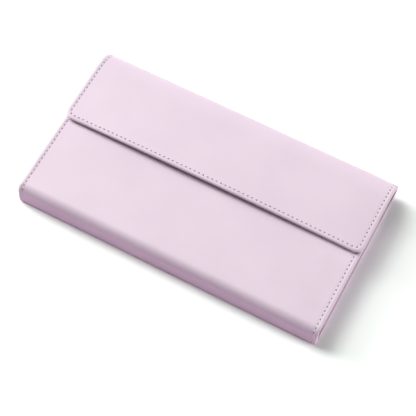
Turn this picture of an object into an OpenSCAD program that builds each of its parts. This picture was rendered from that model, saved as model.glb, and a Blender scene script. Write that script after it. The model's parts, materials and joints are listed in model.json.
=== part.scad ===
// Long soft leather wallet for cash envelopes, lying closed on its back.
// X runs along the folds, +Y towards the rear edge that carries the flap, Z is up.
// The origin is under the middle of the closed wallet, on the face that it rests on.

/* [Case] */
// Length along the folds
wallet_l = 200; // [186:1:216]
// Depth from the front spine to the rear edge
wallet_d = 110; // [105:1:122]
// Thickness of the outer leather
leather_t = 1.2; // [1:0.05:1.4]
// Thickness of the boards and of the foam in the spines
board_t = 1; // [0.9:0.05:1.2]
// Thickness of the linings
lining_t = 0.4; // [0.3:0.05:0.5]
// Radius of the free corners of the flap and the front cover
corner_r = 6; // [4:0.5:9]
// Radius of the turned leather edges
edge_r = 0.9; // [0.6:0.05:1.1]
// How far the rear edge's rounding runs in from the edge
rear_run = 14; // [11:0.5:16]
// Outer radius of the front spine where it turns into the front cover
spine_r = 6.4; // [5.6:0.1:7.6]
// Inner radius of the front spine at its foot on the table
foot_r = 0.4; // [0.2:0.1:1.2]
// Gap between pieces that part at a fold
fold_gap = 0.3; // [0.25:0.05:0.4]

/* [Flap] */
// How far the flap reaches forward from the rear edge
flap_reach = 53.6; // [46:0.2:62]
// Gap between the closed flap and the front cover
flap_gap = 0.6; // [0.5:0.05:0.9]
// Diameter of the hidden magnets
magnet_d = 12; // [9:0.5:14]
// From the middle of the wallet to each magnet
magnet_x = 55; // [40:1:68]
// From the flap's free edge to the magnets' centres
magnet_inset = 14; // [11:0.5:17]

/* [Front cover] */
// From the front cover's free edge to the zipper slider behind it
cover_clear = 1.4; // [1:0.1:3]
// Thickness of one card slot strip
slot_t = 0.3; // [0.25:0.05:0.35]
// Step from one card slot's mouth to the next
slot_step = 12; // [10:0.5:14]
// From the cover's free edge to the first card slot's mouth
slot_back = 12; // [9:0.5:16]
// From the front cover's spine end to the foot of the lowest card slot
slot_foot = 8.3; // [6:0.1:12]

/* [Gussets] */
// Depth of the gussets' folds
gusset_depth = 9.3; // [7.5:0.1:9.6]
// Thickness of the gussets' cloth
gusset_t = 0.4; // [0.3:0.05:0.5]
// From the ends of the wallet to the gussets
gusset_inset = 0.6; // [0.4:0.1:1.5]
// Height of the folded pleats at the foot of the gussets
pleat_h = 3.6; // [3.2:0.1:4.4]

/* [Cash envelopes] */
// Thickness of one leaf of an envelope
leaf_t = 0.25; // [0.2:0.01:0.28]
// Gap between envelopes in the closed stack
stack_gap = 0.1; // [0.08:0.01:0.14]
// Room between the envelopes' ends and the gussets
envelope_play = 1.8; // [1:0.1:4]
// How far the envelopes sit into the front spine
envelope_sink = 2; // [1:0.1:2.4]
// Height of the tabs
tab_h = 7; // [5:0.5:9]
// How much lower the front leaf is than the back leaf
lip_h = 6; // [4:0.5:9]
// Radius of the thumb notch
notch_r = 9; // [6:0.5:12]

/* [Zipped pouch] */
// Room inside the flat pouch
pouch_room = 0.8; // [0.75:0.05:1.2]
// Thickness of the pouch wall
pouch_t = 0.4; // [0.35:0.05:0.5]
// Width of the pouch's sewn border
pouch_border = 2; // [1.5:0.1:4]
// Width of each zipper tape
tape_w = 5.8; // [4.6:0.1:6.2]
// Thickness of the zipper tapes
tape_t = 0.4; // [0.35:0.05:0.45]
// Distance from one tooth to the next in a row
tooth_pitch = 2; // [1.9:0.05:2.4]
// Height of the teeth
tooth_h = 1; // [0.9:0.05:1.2]
// Length of the slider
slider_l = 8.5; // [8:0.1:10]
// Length of the pull tab from its pin
pull_l = 20; // [14:0.5:21]

/* [Hidden] */
envelope_n = 12;
slot_n = 3;
pleat_leaves = 4;
tab_n = 4;
arc_angle = 5;
seam_angle = 1;
smooth_r = 1;
cut = 0.5;
fit = 0.1;
rest_gap = 0.2;

// Heights through the closed wallet, from the table up
panel_t = leather_t + board_t + lining_t;
pouch_z = panel_t + pouch_room;
tape_z = pouch_z + pouch_t;
leaves_z = tape_z + rest_gap;
envelope_t = 2 * leaf_t;
envelope_pitch = envelope_t + stack_gap;
stack_top = leaves_z + envelope_n * envelope_pitch - stack_gap;
slots_z = stack_top + rest_gap;
cover_z = slots_z + slot_n * slot_t;
cover_top = cover_z + panel_t;
flap_z = cover_top + flap_gap;
wallet_h = flap_z + panel_t;

// The long rounding of the rear edge, and the front spine with its upper curve, upright face
// and tight foot
rear_r = wallet_h / 2;
rear_y = wallet_d / 2 - rear_run;
spine_y = spine_r - wallet_d / 2;
spine_z = cover_top - spine_r;
spine_foot_r = panel_t + foot_r;
spine_foot_y = spine_foot_r - wallet_d / 2;

// Ends of the leather, of what it encloses, of the gussets and of the envelopes
end_x = wallet_l / 2;
inner_x = end_x - leather_t;
gusset_x = end_x - gusset_inset;
envelope_x = gusset_x - gusset_depth - envelope_play;

// Zipper
slider_w = 6.4;
slider_plate = 0.8;
slider_flange = 0.75;
zip_setback = 1.8;
zip_y = rear_y - zip_setback;
tape_gap = 1.6;
tape_front_y = zip_y - tape_gap / 2 - tape_w;
tape_top = tape_z + tape_t;
teeth_top = tape_top + tooth_h;
plate_z = teeth_top + rest_gap;
slider_top = plate_z + slider_plate;
zip_end = 14;
slider_home = envelope_x - zip_end;
slider_far = pull_l + 2 * envelope_play - envelope_x;
wedge_l = 1.65;
wedge_w = 1.4;
chain_end = slider_home + slider_l / 2 - wedge_l - rest_gap;
chain_start = slider_far - slider_l / 2;

// The slider's arched crown, and the pull with its pin in the crown's window
crown_w = 1.2;
crown_l = 5;
crown_h = 1.8;
crown_wall = 0.7;
pull_w = 4.6;
pull_t = 1;
pin_r = 0.4;
pin_z = slider_top + pull_t / 2 + 0.75 * rest_gap;
fork_w = 3.8;
fork_room = 1.9;
fork_l = 3;
eye_r = 1;

// Front cover, flap and envelopes along Y
cover_y = spine_y + fold_gap;
cover_end = zip_y - slider_w / 2 - cover_clear;
flap_end = wallet_d / 2 - flap_reach;
magnet_y = flap_end + magnet_inset;
envelope_y = spine_y - envelope_sink;
slot_h = cover_end - slot_back - (slot_n - 1) * slot_step - cover_y - slot_foot;
tabs_y = tape_front_y - envelope_play;
envelope_d = tabs_y - tab_h - envelope_y;

// Colours
leather_pink = [0.925, 0.855, 0.906];
board_grey = [0.62, 0.58, 0.55];
foam_white = [0.93, 0.93, 0.90];
lining_pink = [0.87, 0.79, 0.85];
steel = [0.78, 0.78, 0.80];
tape_pink = [0.84, 0.72, 0.80];
tooth_pink = [0.90, 0.80, 0.87];
envelope_tints = [
  [0.96, 0.82, 0.84], [0.98, 0.89, 0.78], [0.97, 0.95, 0.80], [0.83, 0.93, 0.83],
  [0.80, 0.91, 0.95], [0.86, 0.84, 0.95]
];

// Points of an arc about [y, z] from one angle to another, with fewer on a tight one
function arc(cy, cz, r, from, to) =
  let (n = max(1, round(abs(to - from) / arc_angle * min(1, r / smooth_r))))
  [for (i = [0:n]) let (a = from + (to - from) * i / n) [cy + r * cos(a), cz + r * sin(a)]];

function reversed(p) = [for (i = [len(p) - 1:-1:0]) p[i]];

// Section of the rear edge at a depth below its outer face, half of an oval, between two angles
function rear_line(depth, from, to) =
  let (n = round(abs(to - from) / arc_angle))
  [for (i = [0:n]) let (a = from + (to - from) * i / n)
    [rear_y + (rear_run - depth) * cos(a), rear_r + (rear_r - depth) * sin(a)]];

// Section of the front spine at a depth below its outer face, from the foot up
function spine_line(depth) = concat(
  arc(spine_foot_y, spine_foot_r, spine_foot_r - depth, -90, -180),
  arc(spine_y, spine_z, spine_r - depth, -180, -270)
);

// Section of the back at a depth below its outer face: rear curve, flat, front spine
function back_line(depth) = concat(
  rear_line(depth, -seam_angle, -90),
  spine_line(depth)
);

// Section of the flap at a depth below its outer face, ending at a given Y
function flap_line(depth, end) = concat(
  rear_line(depth, seam_angle, 90),
  [[end, wallet_h - depth]]
);

// Stands a drawing of the Y-Z section up along X, centred on the wallet
module along_x(length) {
  translate([-length / 2, 0, 0]) rotate([90, 0, 90]) linear_extrude(length) children();
}

// Plan of a panel with two rounded free corners, between two Y values, free end at y0
module free_plan(half, y0, y1, r) {
  polygon(concat(
    arc(half - r, y0 + r, r, 0, -90),
    arc(r - half, y0 + r, r, -90, -180),
    [[-half, y1], [half, y1]]
  ));
}

// Back body

module back_leather() {
  color(leather_pink) difference() {
    along_x(wallet_l) polygon(concat(back_line(0), reversed(back_line(panel_t))));
    along_x(2 * inner_x) polygon(concat(back_line(leather_t), reversed(back_line(panel_t + cut))));
  }
}

module back_board() {
  color(board_grey) translate([fit - inner_x, spine_foot_y, leather_t])
    cube([2 * (inner_x - fit), rear_y - spine_foot_y, board_t]);
}

module back_lining() {
  depth = leather_t + board_t;
  color(lining_pink) along_x(2 * (inner_x - fit))
    polygon(concat(back_line(depth), reversed(back_line(panel_t))));
}

module front_spine_foam() {
  color(foam_white) along_x(2 * (inner_x - fit))
    polygon(concat(spine_line(leather_t), reversed(spine_line(leather_t + board_t))));
}

// Foam in one half of the rear edge, between two angles
module rear_foam(from, to) {
  color(foam_white) along_x(2 * (inner_x - fit)) polygon(concat(
    rear_line(leather_t, from, to),
    rear_line(leather_t + board_t, to, from)
  ));
}

module rear_spine_foam() {
  rear_foam(-seam_angle, -90);
}

// Cloth between the back and the front cover: pleats at the foot and an upright wall above them
module gusset(side) {
  start_y = spine_y + panel_t;
  end_y = cover_end - 2 * leather_t;
  fold_h = pleat_h / pleat_leaves;
  reach = gusset_depth / (1 + gusset_t / fold_h);
  folds = [for (i = [0:pleat_leaves]) [
    side * (i % 2 == 0 ? gusset_x : gusset_x - reach), panel_t + i * fold_h
  ]];
  inner = [for (p = folds) [p[0] - side * (gusset_depth - reach), p[1]]];
  wall_x = side * (gusset_x - gusset_t);
  wall_z = panel_t + pleat_h + gusset_t;
  wall_top = cover_z - rest_gap;
  wall = [[side * gusset_x, wall_top], [wall_x, wall_top], [wall_x, wall_z]];
  color(lining_pink) translate([0, end_y, 0]) rotate([90, 0, 0]) linear_extrude(end_y - start_y)
    polygon(concat(folds, wall, reversed(inner)));
}

module gusset_left() {
  gusset(-1);
}

module gusset_right() {
  gusset(1);
}

// Pouch wall with its sewn border standing on the back lining at three sides
module pouch_wall() {
  front_y = spine_y + 2 * panel_t;
  end_y = zip_y - slider_w / 2 - 2 * rest_gap;
  color(lining_pink) difference() {
    translate([-envelope_x, front_y, panel_t])
      cube([2 * envelope_x, end_y - front_y, pouch_room + pouch_t]);
    translate([pouch_border - envelope_x, front_y + pouch_border, panel_t - cut])
      cube([2 * (envelope_x - pouch_border), end_y - front_y, pouch_room + cut]);
  }
}

module zipper_tape_front() {
  color(tape_pink) translate([-envelope_x, tape_front_y, tape_z])
    cube([2 * envelope_x, tape_w, tape_t]);
}

// The rear tape is sewn in where it meets the curved lining
module zipper_tape_rear() {
  drop_share = (rear_r - tape_z) / (rear_r - panel_t);
  start_y = zip_y + tape_gap / 2;
  end_y = rear_y + (rear_run - panel_t) * sqrt(1 - pow(drop_share, 2)) - fit;
  color(tape_pink) translate([-envelope_x, start_y, tape_z])
    cube([2 * envelope_x, end_y - start_y, tape_t]);
}

// One row of teeth. Each has a neck on its tape and a wider head that locks in the other row
module teeth(row) {
  neck = 0.3;
  head = 0.42;
  root_y = 2.2;
  waist_y = 0.5;
  tip_y = 0.35;
  count = floor((chain_end - chain_start) / tooth_pitch);
  color(tooth_pink) for (i = [0:count - 1])
    translate([chain_start + (i + (row > 0 ? 0.5 : 1)) * tooth_pitch, zip_y, tape_top])
      linear_extrude(tooth_h) polygon([
        [-neck, row * root_y], [-neck, row * waist_y], [-head, 0], [-neck, -row * tip_y],
        [neck, -row * tip_y], [head, 0], [neck, row * waist_y], [neck, row * root_y]
      ]);
}

module zipper_teeth_front() {
  teeth(-1);
}

module zipper_teeth_rear() {
  teeth(1);
}

// A closed stop across both tapes at one end and a clip on each tape at the other
module zipper_stops() {
  stop_l = 1.6;
  stop_w = 2.2;
  color(steel) {
    translate([chain_start - stop_l - rest_gap, zip_y - stop_w, tape_top])
      cube([stop_l, 2 * stop_w, tooth_h]);
    for (side = [-1, 1])
      translate([slider_home + slider_l / 2 + rest_gap, zip_y + side * stop_w - stop_w / 2, tape_top])
        cube([stop_l, stop_w, tooth_h]);
  }
}

module slider_plan() {
  nose = slider_w / 4;
  polygon([
    [-slider_l / 2, nose - slider_w / 2], [nose - slider_l / 2, -slider_w / 2],
    [slider_l / 2 - nose, -slider_w / 2], [slider_l / 2, nose - slider_w / 2],
    [slider_l / 2, slider_w / 2 - nose], [slider_l / 2 - nose, slider_w / 2],
    [nose - slider_l / 2, slider_w / 2], [-slider_l / 2, slider_w / 2 - nose]
  ]);
}

// Two plates held by a wedge, flanges that guide the teeth, and the crown for the pull
module zipper_slider() {
  low_z = tape_z - rest_gap;
  color(steel) translate([slider_home, zip_y, 0]) {
    translate([0, 0, plate_z]) linear_extrude(slider_plate) slider_plan();
    translate([0, 0, low_z - slider_plate]) linear_extrude(slider_plate) slider_plan();
    translate([slider_l / 2 - wedge_l, -wedge_w / 2, low_z]) cube([wedge_l, wedge_w, plate_z - low_z]);
    for (side = [-1, 1])
      translate([
        -slider_l / 4, side * (slider_w - slider_flange) / 2 - slider_flange / 2, tape_top + rest_gap
      ]) cube([slider_l / 2, slider_flange, tooth_h]);
    translate([-crown_l / 2, crown_w / 2, slider_top]) rotate([90, 0, 0]) linear_extrude(crown_w)
      difference() {
        polygon([
          [0, 0], [0, crown_h - crown_wall], [crown_wall, crown_h],
          [crown_l - crown_wall, crown_h], [crown_l, crown_h - crown_wall], [crown_l, 0]
        ]);
        translate([crown_wall, -cut])
          square([crown_l - 2 * crown_wall, crown_h - crown_wall + cut]);
      }
  }
}

// A flat round bar through the crown, along Y
module pull_bar(r) {
  rotate([90, 0, 0]) cylinder(r = r, h = fork_w, center = true, $fn = 48);
}

// Pull tab: a pin through the crown, a fork round it and a flat tab with a rounded end
module zipper_pull() {
  tip_x = pull_w / 2 - pull_l;
  color(steel) translate([slider_home, zip_y, pin_z]) {
    pull_bar(pin_r);
    difference() {
      union() {
        pull_bar(pull_t / 2);
        translate([-fork_l - crown_wall, -fork_w / 2, -pull_t / 2])
          cube([fork_l + crown_wall, fork_w, pull_t]);
      }
      translate([-fork_l, -fork_room / 2, -pull_t]) cube([fork_l + pull_t, fork_room, 2 * pull_t]);
    }
    difference() {
      union() {
        translate([tip_x, -pull_w / 2, -pull_t / 2]) cube([-fork_l - tip_x, pull_w, pull_t]);
        translate([tip_x, 0, -pull_t / 2]) cylinder(d = pull_w, h = pull_t, $fn = 64);
      }
      translate([tip_x, 0, -pull_t]) cylinder(r = eye_r, h = 2 * pull_t, $fn = 48);
    }
  }
}

// Flap body

// Section of the flap between two depths, with its free edge at a given Y
module flap_section(top, bottom, end) {
  along_x(wallet_l) polygon(concat(flap_line(top, end), reversed(flap_line(bottom, end))));
}

module flap_plan(inset) {
  linear_extrude(2 * wallet_h)
    free_plan(end_x - inset, flap_end + inset, wallet_d, corner_r - inset);
}

// Outer leather, turned over the flap's three free sides and rounded along the free edge
module flap_leather() {
  bottom = wallet_h - panel_t;
  color(leather_pink) difference() {
    intersection() {
      along_x(wallet_l) polygon(concat(
        rear_line(0, seam_angle, 90),
        arc(flap_end + edge_r, wallet_h - edge_r, edge_r, 90, 180),
        arc(flap_end + edge_r, bottom + edge_r, edge_r, 180, 270),
        rear_line(panel_t, 90, seam_angle)
      ));
      flap_plan(0);
    }
    intersection() {
      flap_section(leather_t, panel_t + cut, flap_end);
      flap_plan(leather_t);
    }
  }
}

module flap_board() {
  color(board_grey) difference() {
    translate([0, 0, flap_z + lining_t]) linear_extrude(board_t)
      free_plan(inner_x - fit, flap_end + leather_t + fit, rear_y, corner_r - leather_t - fit);
    for (side = [-1, 1]) translate([side * magnet_x, magnet_y, flap_z])
      cylinder(d = magnet_d + 2 * fit, h = panel_t, $fn = 96);
  }
}

module flap_foam() {
  rear_foam(seam_angle, 90);
}

module flap_lining() {
  color(lining_pink) intersection() {
    flap_section(leather_t + board_t, panel_t, flap_end);
    flap_plan(leather_t + fit);
  }
}

module flap_magnets() {
  color(steel) for (side = [-1, 1]) translate([side * magnet_x, magnet_y, flap_z + lining_t])
    cylinder(d = magnet_d, h = board_t, $fn = 96);
}

// Front cover body

// Plan of the front cover: square at the spine, rounded at the free end
module cover_plan(inset) {
  mirror([0, 1]) free_plan(end_x - inset, inset - cover_end, -cover_y, corner_r - inset);
}

module cover_leather() {
  color(leather_pink) difference() {
    intersection() {
      along_x(wallet_l) polygon(concat(
        [[cover_y, cover_z], [cover_y, cover_top]],
        arc(cover_end - edge_r, cover_top - edge_r, edge_r, 90, 0),
        arc(cover_end - edge_r, cover_z + edge_r, edge_r, 0, -90)
      ));
      linear_extrude(wallet_h) cover_plan(0);
    }
    translate([0, -cut, cover_z - cut]) linear_extrude(panel_t - leather_t + cut)
      mirror([0, 1]) free_plan(inner_x, leather_t - cover_end - cut, -cover_y, corner_r - leather_t);
  }
}

module cover_board() {
  color(board_grey) difference() {
    translate([0, 0, cover_z + lining_t]) linear_extrude(board_t) cover_plan(leather_t + fit);
    for (side = [-1, 1]) translate([side * magnet_x, magnet_y, cover_z])
      cylinder(d = magnet_d + 2 * fit, h = panel_t, $fn = 96);
  }
}

module cover_lining() {
  color(lining_pink) translate([0, 0, cover_z]) linear_extrude(lining_t) cover_plan(leather_t + fit);
}

module cover_discs() {
  color(steel) for (side = [-1, 1]) translate([side * magnet_x, magnet_y, cover_z + lining_t])
    cylinder(d = magnet_d, h = board_t, $fn = 96);
}

// Stepped strips under the cover's lining, the first with its mouth nearest the free edge
module card_slot(i) {
  mouth_y = cover_end - slot_back - (i - 1) * slot_step;
  color(lining_pink) translate([0, mouth_y - slot_h, cover_z - i * slot_t])
    linear_extrude(slot_t) mirror([0, 1])
      free_plan(envelope_x, -slot_h, 0, 2 * pouch_border);
}

module card_slot_1() {
  card_slot(1);
}

module card_slot_2() {
  card_slot(2);
}

module card_slot_3() {
  card_slot(3);
}

// Cash envelopes

// A tall back leaf with a tab, and a lower front leaf with a thumb notch
module envelope(i) {
  place = (i - 1) % tab_n;
  tab_w = 2 * envelope_x / tab_n;
  slope = tab_h / 2;
  tab_x = place * tab_w - envelope_x;
  color(envelope_tints[(i - 1) % len(envelope_tints)])
    translate([0, envelope_y, leaves_z + (i - 1) * envelope_pitch]) {
      linear_extrude(leaf_t) {
        translate([-envelope_x, 0]) square([2 * envelope_x, envelope_d]);
        polygon([
          [tab_x, envelope_d - slope], [tab_x + tab_w, envelope_d - slope],
          [tab_x + tab_w, envelope_d], [tab_x + tab_w - slope, envelope_d + tab_h],
          [tab_x + slope, envelope_d + tab_h], [tab_x, envelope_d]
        ]);
      }
      translate([0, 0, leaf_t]) linear_extrude(leaf_t) difference() {
        translate([-envelope_x, 0]) square([2 * envelope_x, envelope_d - lip_h]);
        translate([0, envelope_d - lip_h]) circle(r = notch_r, $fn = 64);
      }
    }
}

back_leather();
back_board();
back_lining();
front_spine_foam();
rear_spine_foam();
gusset_left();
gusset_right();
pouch_wall();
zipper_tape_front();
zipper_tape_rear();
zipper_teeth_front();
zipper_teeth_rear();
zipper_stops();
zipper_slider();
zipper_pull();
flap_leather();
flap_board();
flap_foam();
flap_lining();
flap_magnets();
cover_leather();
cover_board();
cover_lining();
cover_discs();
card_slot_1();
card_slot_2();
card_slot_3();
envelope(1);  // envelope_01
envelope(2);  // envelope_02
envelope(3);  // envelope_03
envelope(4);  // envelope_04
envelope(5);  // envelope_05
envelope(6);  // envelope_06
envelope(7);  // envelope_07
envelope(8);  // envelope_08
envelope(9);  // envelope_09
envelope(10);  // envelope_10
envelope(11);  // envelope_11
envelope(12);  // envelope_12
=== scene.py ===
import json
import math

import bmesh
import bpy
import numpy as np
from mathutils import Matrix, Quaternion, Vector, noise


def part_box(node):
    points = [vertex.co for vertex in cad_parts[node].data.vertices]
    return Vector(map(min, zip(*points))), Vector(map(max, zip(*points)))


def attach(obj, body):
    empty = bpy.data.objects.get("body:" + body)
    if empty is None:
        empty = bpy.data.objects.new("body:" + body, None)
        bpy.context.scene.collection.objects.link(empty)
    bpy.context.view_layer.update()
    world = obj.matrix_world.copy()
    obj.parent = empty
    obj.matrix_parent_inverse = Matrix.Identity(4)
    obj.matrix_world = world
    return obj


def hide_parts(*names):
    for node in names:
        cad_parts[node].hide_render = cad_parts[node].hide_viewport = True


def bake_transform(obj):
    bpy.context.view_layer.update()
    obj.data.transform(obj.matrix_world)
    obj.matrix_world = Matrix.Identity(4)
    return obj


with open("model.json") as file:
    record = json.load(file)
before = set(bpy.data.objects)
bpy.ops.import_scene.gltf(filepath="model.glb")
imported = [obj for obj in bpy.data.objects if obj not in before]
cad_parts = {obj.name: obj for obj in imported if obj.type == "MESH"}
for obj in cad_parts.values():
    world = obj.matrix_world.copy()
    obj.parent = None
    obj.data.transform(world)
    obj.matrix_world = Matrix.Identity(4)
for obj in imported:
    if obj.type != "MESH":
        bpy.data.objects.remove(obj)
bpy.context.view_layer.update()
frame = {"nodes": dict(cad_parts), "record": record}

MM = 0.001


def node_box(node):
    """A node's lowest and highest corners in millimetres."""
    low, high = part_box(node)
    return np.array(low) / MM, np.array(high) / MM


BACK_LOW, BACK_HIGH = node_box("back_leather")
FLAP_LOW, FLAP_HIGH = node_box("flap_leather")
COVER_LOW, COVER_HIGH = node_box("cover_leather")

HALF = FLAP_HIGH[0]
HEIGHT = FLAP_HIGH[2]
PANEL = COVER_HIGH[2] - COVER_LOW[2]
COVER_TOP = COVER_HIGH[2]
COVER_END = COVER_HIGH[1]
FLAP_END = FLAP_LOW[1]
CORNER = 6.0

# The rear edge is half an oval that starts at REAR_Y and bulges a little past the solids
REAR_RUN = 14.0
REAR_BULGE = 1.5
REAR_Y = BACK_HIGH[1] - REAR_RUN

# The front spine has a foot on the table, a face that leans forward and a round turn back over to
# the front cover. The foot is filled out to nearly a square corner, and the lower part of the
# spine spreads forward in a lip that stands a little off the table
FOOT_R = 3.0
FOOT_BEND = math.pi / 2
FOOT_FILL = 0.92
FOOT_LIP = 1.2
FOOT_GAP = 0.8
LIP_HIGH = 10.0
LIP_TURN = FOOT_BEND / 1.5
SPINE_R = 5.3
SPINE_BULGE = 0.5
SPINE_LEAN = math.radians(1)
SPINE_BEND = math.pi / 2 + SPINE_LEAN
FACE = SPINE_LEAN / math.sin(SPINE_LEAN) * (COVER_TOP - FOOT_R - SPINE_R * (1 + math.sin(SPINE_LEAN)))
FOOT_Y = BACK_LOW[1] - SPINE_BULGE + FOOT_LIP + FOOT_R
SPINE_Y = FOOT_Y - FOOT_R + SPINE_R * math.cos(SPINE_LEAN) - FACE * math.tan(SPINE_LEAN / 2)
SPINE_TURN = FOOT_BEND * FOOT_R + FACE + SPINE_BEND * SPINE_R
FLAT = REAR_Y - FOOT_Y

# How the layers share a panel's thickness, how far the lining is set back at the edge, and the radii
# of their turned edges at the upper and the lower face
OUTER_T = 2.2
LINING_T = PANEL - OUTER_T
LINING_SET_BACK = 0.45
OUTER_RADII = (0.6, 0.45)
LINING_RADII = (0.1, 0.2)

# Stitching. The seam lies closer to the edge across a panel's free end than along its sides, by
# the share STITCH_DRAW of its distance. The front cover's seam starts a little before the cover,
# on the spine's turn
STITCH_INSET = 2.9
STITCH_DRAW = 0.17
STITCH_PITCH = 2.95
STITCH_GAP = 0.45
STITCH_SLANT = math.radians(7)
STITCH_STEPS = 6
FRONT_SEAM_START = SPINE_TURN - 5

# The faces that a seam shows on, as (depth, the way that goes deeper into the panel)
SEAM_FACES = ((0.0, 1), (PANEL, -1))

# A thread's middle line lies a little under the face, and towards a stitch's ends it dives and
# thins. A needle hole is a lens, given by the depths of its top, its rim and its floor
THREAD_R = 0.3
THREAD_SIDES = 6
THREAD_SINK = 0.08
THREAD_DIVE = 0.5
THREAD_TAPER = 0.35
HOLE_LONG_R, HOLE_WIDE_R = 0.6, 0.45
HOLE_SIDES = 8
HOLE_TOP, HOLE_RIM, HOLE_FLOOR = 0.01, 0.06, 0.4

# Depths beside the stitches by the distance inward from them: over the outer face, where the
# turned edge is a low welt, and over the inner one
WELT_DROP = 0.08
WELT = [
    (1.4, 0.0), (1.0, 0.02), (0.6, 0.06), (0.25, 0.12), (0.0, 0.14), (-0.3, 0.1), (-0.6, 0.02),
    (-0.9, -0.06), (-1.2, -0.12), (-1.5, -0.14), (-1.8, -0.1), (-2.0, -0.03),
]
GROOVE = [(1.0, 0.0), (0.6, 0.03), (0.25, 0.1), (0.0, 0.12), (-0.25, 0.1), (-0.6, 0.03), (-1.0, 0.0)]

# Softness: how far an outer face crowns and waves, and how far the flap's free edge lifts, more so
# at the left end, droops at its right corner, lies askew and spreads at its ends
CROWN = 0.35
CROWN_RUN = 14.0
WAVE = 0.12
WAVES_PER_MM = 0.03
FLAP_LIFT = 1.7
LIFT_TILT = 0.2
FLAP_DROOP = 0.4
DROOP_RUN = 14.0
FLAP_SKEW = 0.9
FLAP_SPREAD = 0.5

# The band along a strip's edge that has its own rings, and the least radius of a corner inside it
BAND = 4.5
BAND_CORNER = 1.5

# The meshes' steps: finest round the foot, fine round the rest of the spine, for FINE_RUN past it
# and round the rear edge, and coarse over the flat panels
CORNER_STEPS = 5
EDGE_STEPS = 5
OVAL_STEPS = 60
FOOT_STEP = 0.2
FINE_STEP = 0.8
COARSE_STEP = 4.0
FINE_RUN = 10.0
SECTION_STEP = 0.05


# Mesh helpers

def link(obj):
    bpy.context.scene.collection.objects.link(obj)
    return obj


def place(name, points, faces, uvs=None):
    """A smooth mesh object from points in millimetres, with its faces turned outward."""
    mesh = bpy.data.meshes.new(name)
    mesh.from_pydata((np.asarray(points, float) * MM).tolist(), [], faces)
    made = bmesh.new()
    made.from_mesh(mesh)
    bmesh.ops.recalc_face_normals(made, faces=made.faces)
    made.to_mesh(mesh)
    made.free()
    if uvs is not None:
        corners = np.zeros(len(mesh.loops), np.int32)
        mesh.loops.foreach_get("vertex_index", corners)
        flat_cut = mesh.uv_layers.new(name="flat_cut")
        flat_cut.data.foreach_set("uv", (np.asarray(uvs, float)[corners] * MM).ravel())
    mesh.polygons.foreach_set("use_smooth", [True] * len(mesh.polygons))
    return link(bpy.data.objects.new(name, mesh))


def place_folded(name, section, flat, faces):
    """A mesh object from flat points (s, x, depth), folded along a section."""
    flat = np.asarray(flat, float)
    return place(name, section(*flat.T), faces, flat[:, [1, 0]])


def tube_sides(first, rings, sides):
    """Faces between the rings of a tube whose points start at a given one."""
    faces = []
    for ring in range(rings - 1):
        for k in range(sides):
            p, q = first + ring * sides + k, first + ring * sides + (k + 1) % sides
            faces.append((p, q, q + sides, p + sides))
    return faces


def spaced(start, end, step):
    return np.linspace(start, end, max(1, round(abs(end - start) / step)) + 1)


def stations(runs):
    """Values along runs of (start, end, step), one after another."""
    parts = [spaced(*run) for run in runs]
    return np.concatenate([parts[0]] + [p[1:] for p in parts[1:]])


def smooth(t):
    t = np.clip(t, 0, 1)
    return t * t * (3 - 2 * t)


# The sections that the flat strips are folded along

def folded(heading, pieces):
    """A section from the foot on, of pieces as (length, turn to the left). Gives the places and
    the headings at runs along it."""
    ends = np.concatenate([[0], np.cumsum([length for length, _ in pieces])])
    headings = heading + np.concatenate([[0], np.cumsum([turn for _, turn in pieces])])
    fine = np.linspace(0, ends[-1], round(ends[-1] / SECTION_STEP) + 1)
    middle = np.interp((fine[1:] + fine[:-1]) / 2, ends, headings)
    y = FOOT_Y + np.concatenate([[0], np.cumsum(np.cos(middle) * np.diff(fine))])
    z = np.concatenate([[0], np.cumsum(np.sin(middle) * np.diff(fine))])

    def at(s):
        past = np.maximum(s - ends[-1], 0)
        turned = np.interp(s, ends, headings)
        return np.interp(s, fine, y) + past * np.cos(turned), np.interp(s, fine, z), turned

    return at


def half_oval(run, height):
    """Pieces of half an oval that rises by a height and runs out and back."""
    t = np.linspace(0, math.pi, OVAL_STEPS + 1)
    y, z = run * np.sin(t), -height / 2 * np.cos(t)
    headings = np.arctan2(height / 2 * np.sin(t), run * np.cos(t))
    return list(zip(np.hypot(np.diff(y), np.diff(z)), np.diff(headings)))


REAR_EDGE = half_oval(REAR_RUN + REAR_BULGE, HEIGHT)
REAR_TURN = sum(length for length, _ in REAR_EDGE)
REAR_FOLD = folded(0, [(FLAT, 0)] + REAR_EDGE + [(REAR_Y - FLAP_END, 0)])
FRONT_FOLD = folded(math.pi, [
    (FOOT_BEND * FOOT_R, -FOOT_BEND), (FACE, SPINE_LEAN), (SPINE_BEND * SPINE_R, -SPINE_BEND),
    (COVER_END - SPINE_Y, 0)
])


def rear_section(s, x, depth):
    """From the front spine's foot, along the table, up round the rear edge and over the flap."""
    y, z, turned = REAR_FOLD(s)
    across = x / HALF
    on_flap = np.maximum(s - FLAT - REAR_TURN, 0)
    to_edge = smooth(on_flap / (REAR_Y - FLAP_END))
    lift = FLAP_LIFT * (1 - across ** 2) * (1 - LIFT_TILT * across) * to_edge
    droop = FLAP_DROOP * across ** 6 * (1 + across) / 2 * smooth(on_flap / DROOP_RUN)
    skew = FLAP_SKEW * (1 - across) / 2 * to_edge
    spread = FLAP_SPREAD * across * smooth(2 * (s - FLAT) / REAR_TURN)
    z = np.maximum(z + depth * np.cos(turned) + lift - droop, 0)
    return np.stack([x + spread, y - depth * np.sin(turned) - skew, z], -1)


def front_section(s, x, depth):
    """From the same foot forward and up round the front spine, and back over the front cover."""
    y, z, turned = FRONT_FOLD(s)
    outer = np.clip(1 - depth / PANEL, 0, 1)
    foot = np.clip(s / FOOT_R, 0, FOOT_BEND)
    depth = depth - FOOT_FILL * FOOT_R * (1 / np.maximum(np.cos(foot), np.sin(foot)) - 1) * outer
    z = np.maximum(z - depth * np.cos(turned), 0)
    low = np.clip(1 - z / LIP_HIGH, 0, 1) * smooth(foot / LIP_TURN) * outer
    return np.stack([x, y + depth * np.sin(turned) - FOOT_LIP * low, z + FOOT_GAP * low], -1)


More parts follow.
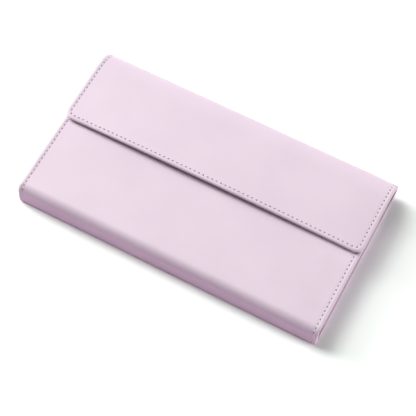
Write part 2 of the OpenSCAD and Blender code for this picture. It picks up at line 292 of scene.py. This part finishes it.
def level_section(top_z):
    """A flat strip whose s is Y and whose depth goes down from a height."""
    def section(s, x, depth):
        return np.stack([x, s, top_z - depth], -1)
    return section


REAR_END = FLAT + REAR_TURN + REAR_Y - FLAP_END
FRONT_END = SPINE_TURN + COVER_END - SPINE_Y
REAR_LINES = stations([
    (0, FLAT, COARSE_STEP), (FLAT, FLAT + REAR_TURN, FINE_STEP),
    (FLAT + REAR_TURN, REAR_END, COARSE_STEP)
])
FRONT_LINES = stations([
    (0, FOOT_BEND * FOOT_R, FOOT_STEP), (FOOT_BEND * FOOT_R, SPINE_TURN + FINE_RUN, FINE_STEP),
    (SPINE_TURN + FINE_RUN, FRONT_END, COARSE_STEP)
])


# Layers of leather and cloth with rounded edges

class Strip:
    """A strip as it is cut: the section that it is folded along, its grid lines across that, its
    run from start to end, its half width and its corners' radius. The far end has corners and a
    turned edge, and so has the near end of a closed strip."""

    def __init__(self, section, lines, start, end, half, corner, closed=False):
        self.section, self.lines = section, lines
        self.start, self.end = start, end
        self.half, self.corner = half, corner
        self.closed = closed

    def set_back(self, distance):
        """The same strip, cut smaller along its sides and its far end."""
        return Strip(self.section, self.lines, self.start, self.end - distance,
                     self.half - distance, self.corner - distance, self.closed)

    def grid(self, band):
        """Points inside a band along the edges: their s and x, and in shares of the corners'
        radius there, how far out each lies in s and in x."""
        r = self.corner - band
        near_band, near_r = (band, r) if self.closed else (0, 0)
        xs = grid_lines(spaced(-self.half, self.half, COARSE_STEP), band - self.half,
                        self.half - band, r, True)
        ss = grid_lines(self.lines, self.start + near_band, self.end - band, r, self.closed)
        s, x = np.meshgrid(ss, xs, indexing="ij")
        centre_s = np.clip(s, ss[0] + near_r, ss[-1] - r)
        centre_x = np.clip(x, xs[0] + r, xs[-1] - r)
        a, b = (s - centre_s) / r, (x - centre_x) / r
        out_s, out_x = a * np.sqrt(1 - b ** 2 / 2), b * np.sqrt(1 - a ** 2 / 2)
        return centre_s + r * out_s, centre_x + r * out_x, out_s, out_x

    def outline(self, rows, cols):
        """The grid's outer points as (row, column): up one side, across and down the other, and
        back across the near end if the strip is closed."""
        ring = [(i, 0) for i in range(rows)] + [(rows - 1, j) for j in range(1, cols)]
        ring += [(i, cols - 1) for i in range(rows - 2, -1, -1)]
        if self.closed:
            ring += [(0, j) for j in range(cols - 2, 0, -1)]
        return ring

    def inside(self, s, x):
        """How far places lie inside the turned edges."""
        edge = np.minimum(self.half - np.abs(x), self.end - s)
        return np.minimum(edge, s - self.start) if self.closed else edge


def grid_lines(lines, low, high, r, round_low):
    """The given lines between two ends, with even steps over the last r at each rounded end."""
    start = low + r if round_low else low
    end = high - r
    steps = r * np.arange(CORNER_STEPS) / CORNER_STEPS
    middle = [v for v in lines if start + r / 2 < v < end - r / 2]
    first = list(low + steps) if round_low else []
    return np.array(first + [start] + middle + [end] + list(high - steps[::-1]))


def edge_profile(thick, radii, inset, outer, inner):
    """Pairs of (distance from the edge, depth) over a turned edge, from the upper face's welt if
    it is an outer layer, to the lower face's groove if it is an inner one."""
    top_r, low_r = radii
    drop = WELT_DROP if outer else 0.0
    bend = np.linspace(0, math.pi / 2, EDGE_STEPS + 1)
    top = [(inset + w, depth) for w, depth in WELT] if outer else []
    low = [(inset + w, thick - depth) for w, depth in reversed(GROOVE)] if inner else []
    over = [(top_r * (1 - math.sin(a)), drop + top_r * (1 - math.cos(a))) for a in bend]
    under = [(low_r * (1 - math.cos(a)), thick - low_r * (1 - math.sin(a))) for a in bend]
    return top + over + under + low


def layer_faces(rows, cols, outline, turns, closed):
    """Faces of the upper and the lower grid, and of the rings that join them over the edge. The
    near end of a strip that isn't closed gets plain faces."""
    low, count = rows * cols, len(outline)
    faces = []
    for i in range(rows - 1):
        for j in range(cols - 1):
            p = i * cols + j
            quad = (p, p + 1, p + 1 + cols, p + cols)
            faces += [quad, tuple(low + v for v in quad)]
    upper = [i * cols + j for i, j in outline]
    rings = [upper]
    rings += [list(range(2 * low + k * count, 2 * low + (k + 1) * count)) for k in range(turns)]
    rings.append([low + v for v in upper])
    for above, below in zip(rings, rings[1:]):
        for k in range(count if closed else count - 1):
            n = (k + 1) % count
            faces.append((above[k], above[n], below[n], below[k]))
    if not closed:
        faces += [(j, j + 1, low + j + 1, low + j) for j in range(cols - 1)]
        faces += [tuple(ring[0] for ring in rings), tuple(ring[-1] for ring in rings)]
    return faces


def layer(name, strip, top, thick, radii, crown=0.0, crown_from=None, wave=0.0,
          seam_inset=0.0, outer=False, inner=False):
    """A layer of a strip between two depths. Its upper face crowns and waves, fully so from the
    second of the runs crown_from on, and an outer or an inner layer shows the seam."""
    band = min(BAND, strip.corner - BAND_CORNER)
    s, x, out_s, out_x = strip.grid(band)
    rise = smooth((strip.inside(s, x) - band) / CROWN_RUN)
    if crown_from:
        rise = rise * smooth((s - crown_from[0]) / (crown_from[1] - crown_from[0]))
    if wave:
        waves = [noise.noise(Vector((u * WAVES_PER_MM, v * WAVES_PER_MM, thick)))
                 for u, v in zip(s.flat, x.flat)]
        crown = crown + wave * np.reshape(waves, s.shape)
    flat = [np.stack([s, x, top - rise * crown], -1).reshape(-1, 3),
            np.stack([s, x, np.full_like(s, top + thick)], -1).reshape(-1, 3)]

    rows, cols = s.shape
    outline = strip.outline(rows, cols)
    on_ring = tuple(np.array(outline).T)
    ring_s, ring_x, out_s, out_x = (values[on_ring] for values in (s, x, out_s, out_x))
    draw = STITCH_DRAW * out_s ** 2 if outer or inner else 0
    profile = edge_profile(thick, radii, seam_inset, outer, inner)
    for distance, depth in profile:
        go = band - distance * (1 - draw)
        flat.append(np.stack([
            ring_s + out_s * go, ring_x + out_x * go, np.full(len(outline), top + depth)
        ], -1))
    faces = layer_faces(rows, cols, outline, len(profile), strip.closed)
    return place_folded(name, strip.section, np.concatenate(flat), faces)


# Stitching

def seam_path(start, end, half, corner, inset):
    """The line of the stitches, up one side of a panel, across its free end and down the other:
    the place and direction at a distance along it, the stitches' pitch and their count."""
    turn_r = corner - inset
    side = end - corner - start
    bend = turn_r * math.pi / 2
    width = 2 * (half - corner)
    total = 2 * side + 2 * bend + width
    count = round(total / STITCH_PITCH)

    def at(d):
        """(s, x, direction in s, direction in x) at a distance along the line."""
        if d <= side:
            return start + d, inset - half, 1.0, 0.0
        if d <= side + bend:
            a = (d - side) / turn_r
            return (start + side + turn_r * math.sin(a), corner - half - turn_r * math.cos(a),
                    math.cos(a), math.sin(a))
        if d <= side + bend + width:
            return end - inset, corner - half + d - side - bend, 0.0, 1.0
        s, x, ds, dx = at(total - d)
        return s, -x, -ds, dx

    return at, total / count, count


def stitches(name, section, path):
    """Slanted thread stitches that stand proud of both faces and dive at their ends."""
    at, pitch, count = path
    turn_s, turn_x = math.cos(STITCH_SLANT), math.sin(STITCH_SLANT)
    points, faces = [], []
    for i in range(count):
        s, x, ds, dx = at((i + 0.5) * pitch)
        ds, dx = ds * turn_s - dx * turn_x, ds * turn_x + dx * turn_s
        for face, inward in SEAM_FACES:
            first = len(points)
            for u in np.linspace(-1, 1, STITCH_STEPS + 1):
                run = u / 2 * (pitch - STITCH_GAP)
                dip = THREAD_SINK + THREAD_DIVE * abs(u) ** 5
                swell = THREAD_R * (1 - THREAD_TAPER * abs(u) ** 4)
                for k in range(THREAD_SIDES):
                    a = 2 * math.pi * k / THREAD_SIDES
                    off = swell * math.cos(a)
                    depth = face + inward * (dip + swell * math.sin(a))
                    points.append((s + ds * run + dx * off, x + dx * run - ds * off, depth))
            faces += tube_sides(first, STITCH_STEPS + 1, THREAD_SIDES)
            last = len(points) - THREAD_SIDES
            faces.append(tuple(range(first, first + THREAD_SIDES)))
            faces.append(tuple(range(len(points) - 1, last - 1, -1)))
    return place_folded(name, section, points, faces)


def needle_holes(name, section, path):
    """Small lenses in the seam's groove, where the thread goes in between two stitches, painted dark
    as the shade inside the holes.
    """
    at, pitch, count = path
    points, faces = [], []
    for i in range(count + 1):
        s, x, ds, dx = at(i * pitch)
        for face, inward in SEAM_FACES:
            first = len(points)
            for k in range(HOLE_SIDES):
                a = 2 * math.pi * k / HOLE_SIDES
                u, v = HOLE_LONG_R * math.cos(a), HOLE_WIDE_R * math.sin(a)
                points.append((s + ds * u - dx * v, x + dx * u + ds * v, face + inward * HOLE_RIM))
            top = len(points)
            points += [(s, x, face + inward * HOLE_TOP), (s, x, face + inward * HOLE_FLOOR)]
            for k in range(HOLE_SIDES):
                p, q = first + k, first + (k + 1) % HOLE_SIDES
                faces += [(p, q, top), (q, p, top + 1)]
    return place_folded(name, section, points, faces)


# Materials

def srgb(r, g, b):
    """A colour given as the eight-bit values that it shows as."""
    def channel(v):
        v = v / 255
        return v / 12.92 if v <= 0.04045 else ((v + 0.055) / 1.055) ** 2.4
    return (channel(r), channel(g), channel(b), 1.0)


def scaled(colour, factor):
    return tuple(min(1.0, c * factor) for c in colour[:3]) + (1.0,)


class Finish:
    """A material with a few short ways to wire nodes."""

    def __init__(self, name, rough, **values):
        self.material = bpy.data.materials.new(name)
        self.material.use_nodes = True
        self.nodes = self.material.node_tree.nodes
        self.links = self.material.node_tree.links
        self.shader = self.nodes["Principled BSDF"]
        self.shader.inputs["Roughness"].default_value = rough
        for key, value in values.items():
            self.shader.inputs[key.replace("_", " ")].default_value = value

    def coordinates(self, flat_cut):
        """Places in metres, on the flat cut strip or in the object."""
        node = self.nodes.new("ShaderNodeTexCoord")
        return node.outputs["UV" if flat_cut else "Object"]

    def noise(self, where, scale, detail=3.0, rough=0.55):
        node = self.nodes.new("ShaderNodeTexNoise")
        node.inputs["Scale"].default_value = scale
        node.inputs["Detail"].default_value = detail
        node.inputs["Roughness"].default_value = rough
        self.links.new(where, node.inputs["Vector"])
        return node.outputs["Fac"]

    def cells(self, where, scale):
        node = self.nodes.new("ShaderNodeTexVoronoi")
        node.feature = "SMOOTH_F1"
        node.inputs["Scale"].default_value = scale
        self.links.new(where, node.inputs["Vector"])
        return node.outputs["Distance"]

    def bands(self, where, direction, pitch):
        """Even bands, a pitch apart in metres."""
        node = self.nodes.new("ShaderNodeTexWave")
        node.bands_direction = direction
        node.inputs["Scale"].default_value = math.pi / 10 / pitch
        self.links.new(where, node.inputs["Vector"])
        return node.outputs["Fac"]

    def combine(self, operation, a, b):
        """A sum, a product or the like of two values, each a socket or a number."""
        node = self.nodes.new("ShaderNodeMath")
        node.operation = operation
        for socket, value in zip(node.inputs, (a, b)):
            if isinstance(value, (int, float)):
                socket.default_value = value
            else:
                self.links.new(value, socket)
        return node.outputs[0]

    def tones(self, fac, low, high, from_low=0.35, from_high=0.65):
        node = self.nodes.new("ShaderNodeValToRGB")
        node.color_ramp.elements[0].position = from_low
        node.color_ramp.elements[1].position = from_high
        node.color_ramp.elements[0].color = low
        node.color_ramp.elements[1].color = high
        self.links.new(fac, node.inputs["Fac"])
        return node.outputs["Color"]

    def mix(self, fac, first, second):
        """One colour or the other, each a socket or a plain colour."""
        node = self.nodes.new("ShaderNodeMix")
        node.data_type = "RGBA"
        self.links.new(fac, node.inputs["Factor"])
        for socket, colour in ((node.inputs[6], first), (node.inputs[7], second)):
            if isinstance(colour, tuple):
                socket.default_value = colour
            else:
                self.links.new(colour, socket)
        return node.outputs[2]

    def use_diffuse(self):
        """A plain diffuse shader in place of the principled one."""
        self.nodes.remove(self.shader)
        self.shader = self.nodes.new("ShaderNodeBsdfDiffuse")
        self.links.new(self.shader.outputs[0], self.nodes["Material Output"].inputs["Surface"])

    def paint(self, colour):
        self.links.new(colour, self.shader.inputs["Base Color"])

    def roughen(self, fac, low, high):
        node = self.nodes.new("ShaderNodeMapRange")
        node.inputs["To Min"].default_value = low
        node.inputs["To Max"].default_value = high
        self.links.new(fac, node.inputs["Value"])
        self.links.new(node.outputs["Result"], self.shader.inputs["Roughness"])

    def bump(self, *heights):
        """Heights as (socket, strength, distance in metres), the coarse ones first."""
        normal = None
        for height, strength, distance in heights:
            node = self.nodes.new("ShaderNodeBump")
            node.inputs["Strength"].default_value = strength
            node.inputs["Distance"].default_value = distance
            self.links.new(height, node.inputs["Height"])
            if normal is not None:
                self.links.new(normal, node.inputs["Normal"])
            normal = node.outputs["Normal"]
        self.links.new(normal, self.shader.inputs["Normal"])


def leather_finish(name, light, dark):
    """Smooth satin faux leather with a very fine grain."""
    made = Finish(name, 0.5, Specular_IOR_Level=0.36, Sheen_Weight=0.1, Sheen_Roughness=0.5)
    where = made.coordinates(True)
    made.paint(made.tones(made.noise(where, 22, 4), dark, light))
    made.roughen(made.noise(where, 60, 3), 0.46, 0.58)
    made.bump(
        (made.noise(where, 45, 2), 0.25, 0.0006),
        (made.cells(where, 1500), 0.16, 0.00012),
        (made.noise(where, 4200, 2), 0.1, 0.00005),
    )
    return made.material


def cloth_finish(name, light, dark, pitch):
    """Plain woven cloth, its threads a pitch apart in metres."""
    made = Finish(name, 0.82, Specular_IOR_Level=0.25, Sheen_Weight=0.3, Sheen_Roughness=0.4)
    where = made.coordinates(True)
    weave = made.combine("MULTIPLY", made.bands(where, "X", pitch), made.bands(where, "Y", pitch))
    uneven = made.noise(where, 300, 3)
    shade = made.combine("ADD", made.combine("MULTIPLY", weave, 0.5), uneven)
    made.paint(made.tones(shade, dark, light, 0.3, 0.9))
    made.bump((uneven, 0.15, 0.0001), (weave, 0.6, 0.00012))
    return made.material


def thread_finish(name, light, dark, twist):
    """Twisted polyester thread, its twists a given length apart in metres."""
    made = Finish(name, 0.45, Specular_IOR_Level=0.5, Sheen_Weight=0.2)
    turns = made.bands(made.coordinates(True), "DIAGONAL", twist)
    made.paint(made.tones(turns, dark, light, 0.2, 0.8))
    made.bump((turns, 0.4, 0.00006))
    return made.material


def hole_shade_finish(name, light, dark):
    """Painted shade: the leather round a needle hole, darkened as the shade inside the hole."""
    made = Finish(name, 0.9, Specular_IOR_Level=0.1)
    made.paint(made.tones(made.noise(made.coordinates(True), 900), dark, light))
    return made.material


def paper_finish(name, colour):
    """Laminated card in one tint, with faint fibres."""
    made = Finish(name, 0.4, Specular_IOR_Level=0.45)
    where = made.coordinates(False)
    made.paint(made.tones(made.noise(where, 900, 5, 0.7), scaled(colour, 0.93), scaled(colour, 1.06)))
    made.roughen(made.noise(where, 120, 2), 0.33, 0.46)
    made.bump((made.noise(where, 1400, 3), 0.12, 0.00005))
    return made.material


def metal_finish(name, colour, rough):
    """Plated zinc with fine polishing lines."""
    made = Finish(name, rough, Metallic=1.0)
    where = made.coordinates(False)
    lines = made.nodes.new("ShaderNodeMapping")
    lines.inputs["Scale"].default_value = (120, 4000, 4000)
    made.links.new(where, lines.inputs["Vector"])
    polished = made.noise(lines.outputs["Vector"], 1, 3)
    made.paint(made.tones(made.noise(where, 300, 3), scaled(colour, 0.9), colour))
    made.roughen(polished, rough - 0.06, rough + 0.1)
    made.bump((polished, 0.12, 0.00003))
    return made.material


def moulded_finish(name, light, dark):
    """Moulded plastic teeth."""
    made = Finish(name, 0.35, Specular_IOR_Level=0.5)
    where = made.coordinates(False)
    made.paint(made.tones(made.noise(where, 500, 3), dark, light))
    made.roughen(made.noise(where, 900, 3), 0.28, 0.42)
    made.bump((made.noise(where, 2500, 2), 0.1, 0.00004))
    return made.material


LEATHER = leather_finish("outer_leather", srgb(238, 219, 233), srgb(234, 214, 229))
# The lining is partly painted shade: darker and more purple than the cloth's own colour, so that the
# gaps under the flap and the panels' edges read dark
LINING = cloth_finish("lining", srgb(203, 172, 198), srgb(182, 149, 177), 0.00035)
# The gusset cloth is partly painted shade: darker than the cloth's own colour, so that the recess at
# the wallet's ends reads dark
GUSSET = cloth_finish("gusset_cloth", srgb(212, 184, 207), srgb(192, 162, 187), 0.0003)
TAPE = cloth_finish("zipper_tape", srgb(222, 196, 214), srgb(198, 170, 190), 0.0005)
# The thread is painted near white, lighter than the leather: partly its own colour and partly a
# painted highlight along the stitches
THREAD = thread_finish("thread", srgb(254, 244, 252), srgb(244, 228, 242), 0.00035)
# Painted shade: the needle holes' dark colour stands in for the shade inside them
HOLE_SHADE = hole_shade_finish("needle_hole_shade", srgb(178, 149, 175), srgb(152, 123, 150))
METAL = metal_finish("zipper_metal", srgb(226, 206, 190), 0.24)
TEETH = moulded_finish("zipper_teeth", srgb(228, 206, 222), srgb(210, 186, 204))


def finish_piece(obj, material):
    obj.data.materials.append(material)
    return obj


# The case: one skin from the front spine's foot round the rear edge to the flap's free edge,
# and one that goes on from the foot round the front spine to the front cover's free edge

def flap_blend(obj):
    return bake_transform(obj)


def cover_blend(obj):
    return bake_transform(obj)


def case_part(prefix, strip, crown_from, seam_from, blend, outer_nodes, lining_nodes):
    """A skin with its lining, thread and needle holes."""
    outer = layer(prefix + "_skin", strip, 0, OUTER_T, OUTER_RADII, CROWN, crown_from, WAVE,
                  STITCH_INSET, outer=True)
    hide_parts(*outer_nodes)
    finish_piece(outer, LEATHER)
    cut = strip.set_back(LINING_SET_BACK)
    inner = layer(prefix + "_lining", cut, OUTER_T, LINING_T, LINING_RADII,
                  seam_inset=STITCH_INSET - LINING_SET_BACK, inner=True)
    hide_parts(*lining_nodes)
    finish_piece(inner, LINING)
    path = seam_path(seam_from, strip.end + STITCH_DRAW * STITCH_INSET, HALF, CORNER, STITCH_INSET)
    thread = stitches(prefix + "_stitches", strip.section, path)
    holes = needle_holes(prefix + "_needle_holes", strip.section, path)
    finish_piece(thread, THREAD)
    finish_piece(holes, HOLE_SHADE)
    for piece in (outer, inner, thread, holes):
        blend(piece)


case_part("case", Strip(rear_section, REAR_LINES, 0, REAR_END, HALF, CORNER),
          (FLAT, FLAT + REAR_TURN), 0, flap_blend,
          ["back_leather", "back_board", "rear_spine_foam", "flap_leather", "flap_board",
           "flap_foam", "flap_magnets"], ["back_lining", "flap_lining"])
case_part("front", Strip(front_section, FRONT_LINES, 0, FRONT_END, HALF, CORNER),
          (0, SPINE_TURN), FRONT_SEAM_START, cover_blend,
          ["cover_leather", "cover_board", "cover_discs", "front_spine_foam"], ["cover_lining"])


# The gussets: pleated cloth between the back and the front cover

PLEAT_LEAVES = 4
PLEAT_STEPS = 10
PLEAT_POINT = 0.985
PLEATS_TOP = 6.2
WALL_STEP = 1.0
GUSSET_T = 0.36


def gusset_line(outer_x, inner_x, low, high):
    """Points of the cloth's middle line: rounded pleats from the foot up, then an upright wall."""
    u = np.linspace(0, PLEAT_LEAVES, PLEAT_LEAVES * PLEAT_STEPS + 1)
    wave = np.arcsin(PLEAT_POINT * np.cos(math.pi * u)) / math.asin(PLEAT_POINT)
    x = (outer_x + inner_x) / 2 + (outer_x - inner_x) / 2 * wave
    pleats = np.stack([x, low + (PLEATS_TOP - low) * u / PLEAT_LEAVES], -1)
    wall = spaced(PLEATS_TOP, high, WALL_STEP)[1:]
    return np.concatenate([pleats, np.stack([np.full(len(wall), outer_x), wall], -1)])


def gusset(node):
    """A gusset's cloth, its middle line thickened to a closed loop and run along the wallet's
    depth, between the back and the front cover."""
    low, high = node_box(node)
    outer_x, inner_x = (high[0], low[0]) if high[0] > 0 else (low[0], high[0])
    line = gusset_line(outer_x, inner_x, low[2], high[2])
    ahead = np.gradient(line, axis=0)
    ahead /= np.linalg.norm(ahead, axis=1)[:, None]
    side = np.stack([-ahead[:, 1], ahead[:, 0]], -1) * GUSSET_T / 2
    loop = np.concatenate([line + side, (line - side)[::-1]])
    run = np.concatenate([[0], np.cumsum(np.linalg.norm(np.diff(loop, axis=0), axis=1))])
    ys = spaced(low[1], high[1], COARSE_STEP)
    count, half = len(loop), len(line)
    points = [(x, y, z) for y in ys for x, z in loop]
    faces = tube_sides(0, len(ys), count)
    for first in (0, (len(ys) - 1) * count):
        faces += [(first + k, first + k + 1, first + count - 2 - k, first + count - 1 - k)
                  for k in range(half - 1)]
    made = place(node + "_cloth", points, faces, [(y, r) for y in ys for r in run])
    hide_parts(node)
    finish_piece(made, GUSSET)
    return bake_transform(made)


gusset("gusset_left")
gusset("gusset_right")


# The zipped pouch, its tapes and the card slots

def flat_piece(name, node, body, material, corner, thick, crown=0.0):
    """A flat closed piece of cloth or leather in a node's box, with nearly round edges, crowned
    by up to a height."""
    low, high = node_box(node)
    strip = Strip(level_section(high[2] - crown), spaced(low[1], high[1], COARSE_STEP),
                  low[1], high[1], (high[0] - low[0]) / 2, corner, closed=True)
    made = layer(name, strip, 0.0, thick, (thick / 2, thick / 2.2), crown)
    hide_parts(node)
    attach(finish_piece(made, material), body)
    return made


pouch = flat_piece("pouch_cloth", "pouch_wall", "back", LINING,
                   corner=3.0, thick=0.5, crown=0.5)
for row in ("front", "rear"):
    node = "zipper_tape_" + row
    flat_piece(node + "_cloth", node, "back", TAPE, corner=1.9, thick=0.4)
for number in (1, 2, 3):
    node = f"card_slot_{number}"
    slot_strip = flat_piece(node + "_leather", node, "front_cover", LEATHER,
                            corner=3.0, thick=0.3)


# The CAD nodes that keep their own shape

def dress(node, material):
    """Gives a CAD node a better material."""
    obj = frame["nodes"][node]
    obj.data.materials.clear()
    finish_piece(obj, material)


for node in ("zipper_teeth_front", "zipper_teeth_rear"):
    dress(node, TEETH)
for node in ("zipper_slider", "zipper_pull", "zipper_stops"):
    dress(node, METAL)

TINTS = {
    "envelope_rose": srgb(243, 211, 217), "envelope_peach": srgb(248, 226, 200),
    "envelope_cream": srgb(246, 241, 206), "envelope_mint": srgb(212, 236, 214),
    "envelope_sky": srgb(204, 230, 242), "envelope_lilac": srgb(219, 213, 242),
}
PAPERS = {slot: paper_finish(slot, colour) for slot, colour in TINTS.items()}
SLOT_OF = {s["node"]: s["material_slot"] for s in frame["record"]["subparts"]}
for node in sorted(n for n in frame["nodes"] if n.startswith("envelope_")):
    dress(node, PAPERS[SLOT_OF[node]])


# The floor, the light and the camera, placed in metres. The floor is white to the eye, and returns
# less light to the object's sides than it shows, so that they keep their colour

FLOOR_HALF = 3.0
FLOOR_DROP = 0.02
FLOOR_WHITE = (1.235, 1.28, 1.245, 1.0)
FLOOR_BOUNCE = (1.08, 0.82, 1.04, 1.0)
FLOOR_TONES = 1.01
WORLD_STRENGTH = 0.01
WHITE = (1.0, 1.0, 1.0)
SIDE_COLOUR = (0.96, 1.0, 0.965)


def floor():
    edge = FLOOR_HALF / MM
    corners = [(-edge, -edge), (edge, -edge), (edge, edge), (-edge, edge)]
    made = place("floor", [(x, y, -FLOOR_DROP) for x, y in corners], [(0, 1, 2, 3)])
    look = Finish("floor_paper", 1.0)
    look.use_diffuse()
    ray = look.nodes.new("ShaderNodeLightPath").outputs
    mirrored = look.combine("MAXIMUM", ray["Is Camera Ray"], ray["Is Glossy Ray"])
    shows = look.combine("MAXIMUM", mirrored, ray["Is Transmission Ray"])
    mottle = look.noise(look.coordinates(False), 4, 2)
    white = look.tones(mottle, FLOOR_WHITE, tuple(FLOOR_TONES * c for c in FLOOR_WHITE))
    look.links.new(look.mix(shows, FLOOR_BOUNCE, white), look.shader.inputs["Color"])
    made.data.materials.append(look.material)


def world_light():
    """A faint even light that the camera sees as white."""
    world = bpy.data.worlds.new("studio")
    bpy.context.scene.world = world
    world.use_nodes = True
    nodes, links = world.node_tree.nodes, world.node_tree.links
    ray = nodes.new("ShaderNodeLightPath").outputs
    mix = nodes.new("ShaderNodeMix")
    mix.data_type = "FLOAT"
    mix.inputs[2].default_value = WORLD_STRENGTH
    mix.inputs[3].default_value = 1.0
    links.new(ray["Is Camera Ray"], mix.inputs[0])
    links.new(mix.outputs[0], nodes["Background"].inputs["Strength"])
    nodes["Background"].inputs["Color"].default_value = WHITE + (1.0,)


def soft_box(name, place_at, size, power, colour=WHITE):
    """A rectangular lamp that faces the object."""
    light = bpy.data.lights.new(name, "AREA")
    light.shape = "RECTANGLE"
    light.size, light.size_y = size
    light.energy = power
    light.color = colour
    obj = link(bpy.data.objects.new(name, light))
    obj.location = place_at
    obj.rotation_mode = "QUATERNION"
    obj.rotation_quaternion = (-Vector(place_at)).to_track_quat("-Z", "Y")


def camera():
    """The photograph's view, as fitted to the wallet's corners."""
    azimuth, elevation, roll = math.radians(28.0), math.radians(62.97), math.radians(0.2)
    distance = 0.805
    target = Vector((0.0037, -0.006, 0.0))
    focal_px, picture_px = 1330.0, 416.0
    back = Vector((math.sin(azimuth) * math.cos(elevation), -math.cos(azimuth) * math.cos(elevation),
                   math.sin(elevation)))
    data = bpy.data.cameras.new("camera")
    data.sensor_width = 36.0
    data.lens = data.sensor_width * focal_px / picture_px
    data.clip_start, data.clip_end = 0.05, 20.0
    obj = link(bpy.data.objects.new("camera", data))
    obj.location = target + back * distance
    obj.rotation_mode = "QUATERNION"
    obj.rotation_quaternion = (-back).to_track_quat("-Z", "Y") @ Quaternion((0, 0, 1), roll)
    bpy.context.scene.camera = obj


floor()
world_light()
soft_box("key", (-2.05, 0.9, 2.6), (1.2, 1.2), 34)
soft_box("key_high", (-1.4, 1.1, 3.0), (2.6, 2.6), 42)
soft_box("left", (-2.7, 0.1, 1.9), (1.4, 1.4), 37)
soft_box("left_low", (-2.9, 0.5, 1.1), (1.4, 1.0), 47)
soft_box("side_fill", (2.2, 0.5, 1.0), (1.8, 1.2), 12, SIDE_COLOUR)
soft_box("side_low", (2.3, 0.4, 0.42), (1.8, 0.7), 26, SIDE_COLOUR)
camera()
bpy.context.scene.view_settings.view_transform = "Standard"
